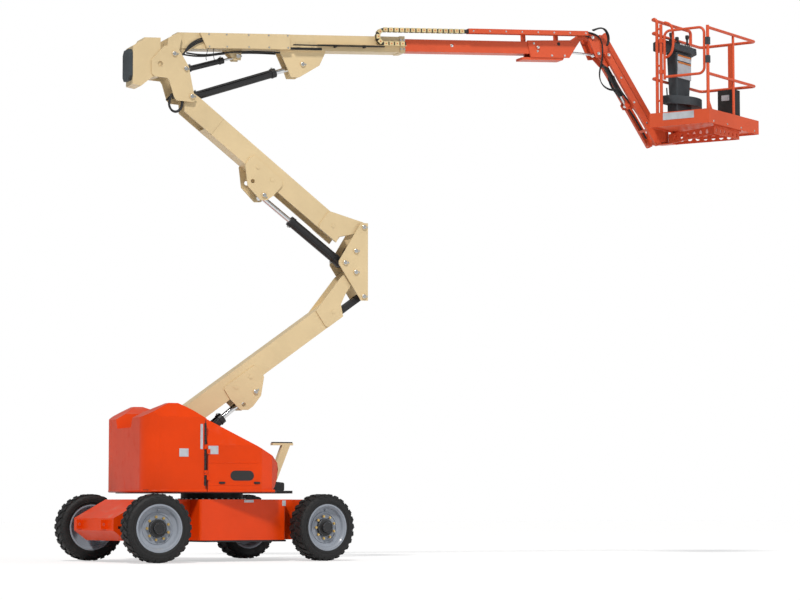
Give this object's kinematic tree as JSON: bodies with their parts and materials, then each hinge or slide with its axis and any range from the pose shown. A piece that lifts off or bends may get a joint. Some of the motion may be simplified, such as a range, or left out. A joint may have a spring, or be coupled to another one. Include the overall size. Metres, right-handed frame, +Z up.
{
  "type": "articulating boom lift",
  "caption": "Self-propelled electric boom lift: folding parallelogram tower, telescoping main boom, levelled jib and a rotating railed work platform on four wheels.",
  "frame": {"origin": "on the floor under the turntable's swing axis", "axes": "+X along the booms towards the platform, +Y to the left when facing +X, +Z up"},
  "size_m": [8.0461, 2.2862, 6.1108],
  "materials": {
    "orange_paint": "gloss orange paint",
    "cream_paint": "satin cream paint",
    "red_paint": "gloss red-orange paint",
    "rim_grey": "satin grey paint",
    "black_steel": "black paint",
    "rubber": "black rubber",
    "chrome_rod": "polished chrome",
    "dark_plastic": "dark grey moulded plastic",
    "black_plastic": "black moulded plastic",
    "counterweight_iron": "painted cast iron",
    "battery": "battery cases"
  },
  "bodies": {
    "chassis": {"chassis_frame": "orange_paint", "belly_plate": "black_steel", "steer_axle": "black_steel", "drive_axle": "black_steel", "swing_bearing": "black_steel"},
    "knuckle_near": {"knuckle_near": "black_steel"},
    "knuckle_far": {"knuckle_far": "black_steel"},
    "tie_rod": {"tie_rod": "black_steel"},
    "turntable": {"turntable_frame": "orange_paint", "rear_cover": "orange_paint", "counterweight": "counterweight_iron", "battery_pack_near": "battery", "battery_pack_far": "battery", "boom_rest": "cream_paint"},
    "hood_near": {"hood_near": "orange_paint"},
    "hood_far": {"hood_far": "orange_paint"},
    "lower_arm": {"lower_arm": "cream_paint"},
    "lower_link": {"lower_link": "cream_paint"},
    "upright": {"upright": "cream_paint"},
    "upper_arm": {"upper_arm": "cream_paint"},
    "boom_head": {"boom_head": "cream_paint", "head_cover": "dark_plastic"},
    "main_boom": {"main_boom": "cream_paint", "boom_side_cover": "cream_paint"},
    "cable_carrier": {"cable_carrier": "black_plastic"},
    "fly": {"fly_boom": "red_paint", "fly_tray": "red_paint"},
    "jib_base": {"jib_base": "red_paint"},
    "jib_arm": {"jib_arm": "red_paint"},
    "jib_link": {"jib_link": "red_paint"},
    "jib_head": {"jib_head": "red_paint"},
    "platform": {"platform_floor": "red_paint", "platform_support": "red_paint", "platform_rails": "red_paint", "console": "dark_plastic", "tool_box": "black_plastic"},
    "platform_gate": {"platform_gate": "red_paint"},
    "wheel_steer_near": {"rim_steer_near": "rim_grey", "tyre_steer_near": "rubber"},
    "wheel_steer_far": {"rim_steer_far": "rim_grey", "tyre_steer_far": "rubber"},
    "wheel_drive_near": {"rim_drive_near": "rim_grey", "tyre_drive_near": "rubber"},
    "wheel_drive_far": {"rim_drive_far": "rim_grey", "tyre_drive_far": "rubber"},
    "lower_lift_barrel": {"lower_lift_barrel": "black_steel"},
    "lower_lift_rod": {"lower_lift_rod": "chrome_rod"},
    "upper_lift_barrel": {"upper_lift_barrel": "black_steel"},
    "upper_lift_rod": {"upper_lift_rod": "chrome_rod"},
    "main_lift_barrel": {"main_lift_barrel": "black_steel"},
    "main_lift_rod": {"main_lift_rod": "chrome_rod"},
    "level_master_barrel": {"level_master_barrel": "black_steel"},
    "level_master_rod": {"level_master_rod": "chrome_rod"},
    "level_slave_barrel": {"level_slave_barrel": "black_steel"},
    "level_slave_rod": {"level_slave_rod": "chrome_rod"},
    "jib_lift_barrel": {"jib_lift_barrel": "black_steel"},
    "jib_lift_rod": {"jib_lift_rod": "chrome_rod"}
  },
  "joints": [
    {"name": "steer_near", "type": "hinge", "parent": "chassis", "child": "knuckle_near", "pos_m": [-0.93549, -0.81554, 0.355], "axis": [0, 0, 1], "range_deg": [-18, 42]},
    {"name": "steer_far", "type": "hinge", "parent": "chassis", "child": "knuckle_far", "pos_m": [-1.20886, 0.28089, 0.355], "axis": [0, 0, 1], "range_deg": [-18, 42]},
    {"name": "tie_rod_slide", "type": "slide", "parent": "chassis", "child": "tie_rod", "axis": [-0.2419, 0.9703, 0], "range_m": [-0.06, 0.115]},
    {"name": "wheel_steer_near", "type": "hinge", "parent": "knuckle_near", "child": "wheel_steer_near", "pos_m": [-0.92886, -1.00543, 0.355], "axis": [-0.0349, 0.9994, 0], "continuous": true},
    {"name": "wheel_steer_far", "type": "hinge", "parent": "knuckle_far", "child": "wheel_steer_far", "pos_m": [-1.21549, 0.47078, 0.355], "axis": [-0.0349, 0.9994, 0], "continuous": true},
    {"name": "wheel_drive_near", "type": "hinge", "parent": "chassis", "child": "wheel_drive_near", "pos_m": [1.06077, -0.51363, 0.355], "axis": [-0.2419, 0.9703, 0], "continuous": true},
    {"name": "wheel_drive_far", "type": "hinge", "parent": "chassis", "child": "wheel_drive_far", "pos_m": [0.69547, 0.95151, 0.355], "axis": [-0.2419, 0.9703, 0], "continuous": true},
    {"name": "swing", "type": "hinge", "parent": "chassis", "child": "turntable", "pos_m": [0, 0, 0.65], "axis": [0, 0, 1], "range_deg": [-180, 180]},
    {"name": "hood_near_hinge", "type": "hinge", "parent": "turntable", "child": "hood_near", "pos_m": [-0.2975, -0.744, 1], "axis": [0, 0, 1], "range_deg": [-95, 0]},
    {"name": "hood_far_hinge", "type": "hinge", "parent": "turntable", "child": "hood_far", "pos_m": [-0.2975, 0.744, 1], "axis": [0, 0, 1], "range_deg": [0, 95]},
    {"name": "tower_lift", "type": "hinge", "parent": "turntable", "child": "lower_arm", "pos_m": [-0.73, 0, 1.454], "axis": [0, -1, 0], "range_deg": [-38, 34]},
    {"name": "lower_link_pivot", "type": "hinge", "parent": "turntable", "child": "lower_link", "pos_m": [-0.636, 0, 1.19], "axis": [0, -1, 0], "range_deg": [-38.5, 34.5]},
    {"name": "upright_pivot", "type": "hinge", "parent": "lower_arm", "child": "upright", "pos_m": [1.591, 0, 3.124], "axis": [0, -1, 0], "range_deg": [-34.5, 38.5]},
    {"name": "upper_arm_pivot", "type": "hinge", "parent": "upright", "child": "upper_arm", "pos_m": [1.685, 0, 3.62], "axis": [0, -1, 0], "range_deg": [-34.5, 38.5]},
    {"name": "head_pivot", "type": "hinge", "parent": "upper_arm", "child": "boom_head", "pos_m": [-0.292, 0, 4.947], "axis": [0, -1, 0], "range_deg": [-38.5, 34.5]},
    {"name": "lower_lift_pivot", "type": "hinge", "parent": "turntable", "child": "lower_lift_barrel", "pos_m": [-0.48, 0, 1.035], "axis": [0, -1, 0], "range_deg": [-37.93, 33.99]},
    {"name": "lower_lift_stroke", "type": "slide", "parent": "lower_lift_barrel", "child": "lower_lift_rod", "axis": [0.771, 0, 0.6369], "range_m": [-0.3084, 0.2764]},
    {"name": "upper_lift_pivot", "type": "hinge", "parent": "upright", "child": "upper_lift_barrel", "pos_m": [1.466, 0, 3.225], "axis": [0, -1, 0], "range_deg": [-34.16, 38.12]},
    {"name": "upper_lift_stroke", "type": "slide", "parent": "upper_lift_barrel", "child": "upper_lift_rod", "axis": [-0.7988, 0, 0.6015], "range_m": [-0.2865, 0.2568]},
    {"name": "main_lift", "type": "hinge", "parent": "boom_head", "child": "main_boom", "pos_m": [-0.492, 0, 5.395], "axis": [0, -1, 0], "range_deg": [-6.8, 69.2]},
    {"name": "main_lift_pivot", "type": "hinge", "parent": "boom_head", "child": "main_lift_barrel", "pos_m": [-0.292, 0, 4.947], "axis": [0, -1, 0], "range_deg": [-6.62, 62.78]},
    {"name": "main_lift_stroke", "type": "slide", "parent": "main_lift_barrel", "child": "main_lift_rod", "axis": [0.9465, 0, 0.3228], "range_m": [-0.0559, 0.5318]},
    {"name": "level_master_pivot", "type": "hinge", "parent": "boom_head", "child": "level_master_barrel", "pos_m": [-0.362, 0, 5.242], "axis": [0, -1, 0], "range_deg": [-7.16, 68.32]},
    {"name": "level_master_stroke", "type": "slide", "parent": "level_master_barrel", "child": "level_master_rod", "axis": [0.9571, 0, 0.2897], "range_m": [-0.0265, 0.2335]},
    {"name": "telescope", "type": "slide", "parent": "main_boom", "child": "fly", "axis": [0.9988, 0, 0.0489], "range_m": [-1.4, 0.04]},
    {"name": "carrier_slide", "type": "slide", "parent": "main_boom", "child": "cable_carrier", "axis": [0.9988, 0, 0.0489], "range_m": [-0.705, 0.025]},
    {"name": "platform_level", "type": "hinge", "parent": "fly", "child": "jib_base", "pos_m": [4.502, 0, 5.912], "axis": [0, -1, 0], "range_deg": [-69.7, 7.3]},
    {"name": "level_slave_pivot", "type": "hinge", "parent": "fly", "child": "level_slave_barrel", "pos_m": [3.82151, 0, 5.75615], "axis": [0, -1, 0], "range_deg": [-0.7, 2.58]},
    {"name": "level_slave_stroke", "type": "slide", "parent": "level_slave_barrel", "child": "level_slave_rod", "axis": [0.9995, 0, -0.0319], "range_m": [-0.225, 0.0257]},
    {"name": "jib_lift", "type": "hinge", "parent": "jib_base", "child": "jib_arm", "pos_m": [4.697, 0, 5.721], "axis": [0, -1, 0], "range_deg": [-3, 141]},
    {"name": "jib_link_pivot", "type": "hinge", "parent": "jib_base", "child": "jib_link", "pos_m": [4.697, 0, 5.941], "axis": [0, -1, 0], "range_deg": [-3.5, 141.5]},
    {"name": "jib_head_pivot", "type": "hinge", "parent": "jib_arm", "child": "jib_head", "pos_m": [5.32249, 0, 4.75598], "axis": [0, -1, 0], "range_deg": [-141.5, 3.5]},
    {"name": "jib_lift_pivot", "type": "hinge", "parent": "jib_base", "child": "jib_lift_barrel", "pos_m": [4.718, 0, 5.623], "axis": [0, -1, 0], "range_deg": [-3.5, 141.5]},
    {"name": "jib_lift_stroke", "type": "slide", "parent": "jib_lift_barrel", "child": "jib_lift_rod", "axis": [0.5046, 0, -0.8634], "range_m": [-0.0081, 0.196]},
    {"name": "platform_rotate", "type": "hinge", "parent": "jib_head", "child": "platform", "pos_m": [5.45309, 0, 4.856], "axis": [0, 0, 1], "range_deg": [-33, 147]},
    {"name": "gate_hinge", "type": "hinge", "parent": "platform", "child": "platform_gate", "pos_m": [5.13367, -0.58306, 5.63598], "axis": [0, 0, 1], "range_deg": [0, 52]}
  ],
  "couplings": [
    {"joint": "steer_far", "follows": "steer_near", "ratio": 1},
    {"joint": "tie_rod_slide", "follows": "steer_near", "m_per_rad": 0.143},
    {"joint": "lower_link_pivot", "follows": "tower_lift", "ratio": 1},
    {"joint": "upright_pivot", "follows": "tower_lift", "ratio": -1},
    {"joint": "upper_arm_pivot", "follows": "tower_lift", "ratio": -1},
    {"joint": "head_pivot", "follows": "tower_lift", "ratio": 1},
    {"joint": "lower_lift_pivot", "follows": "tower_lift", "ratio": 0.985},
    {"joint": "lower_lift_stroke", "follows": "tower_lift", "m_per_rad": 0.459},
    {"joint": "upper_lift_pivot", "follows": "tower_lift", "ratio": -0.99},
    {"joint": "upper_lift_stroke", "follows": "tower_lift", "m_per_rad": 0.426},
    {"joint": "main_lift_pivot", "follows": "main_lift", "ratio": 0.9},
    {"joint": "main_lift_stroke", "follows": "main_lift", "m_per_rad": 0.437},
    {"joint": "level_master_pivot", "follows": "main_lift", "ratio": 0.98},
    {"joint": "level_master_stroke", "follows": "main_lift", "m_per_rad": 0.19},
    {"joint": "carrier_slide", "follows": "telescope", "ratio": 0.5},
    {"joint": "platform_level", "follows": "main_lift", "ratio": -1},
    {"joint": "level_slave_pivot", "follows": "main_lift", "ratio": 0.03},
    {"joint": "level_slave_stroke", "follows": "main_lift", "m_per_rad": -0.183},
    {"joint": "jib_link_pivot", "follows": "jib_lift", "ratio": 1},
    {"joint": "jib_head_pivot", "follows": "jib_lift", "ratio": -1},
    {"joint": "jib_lift_pivot", "follows": "jib_lift", "ratio": 1},
    {"joint": "jib_lift_stroke", "follows": "jib_lift", "m_per_rad": 0.078}
  ]
}
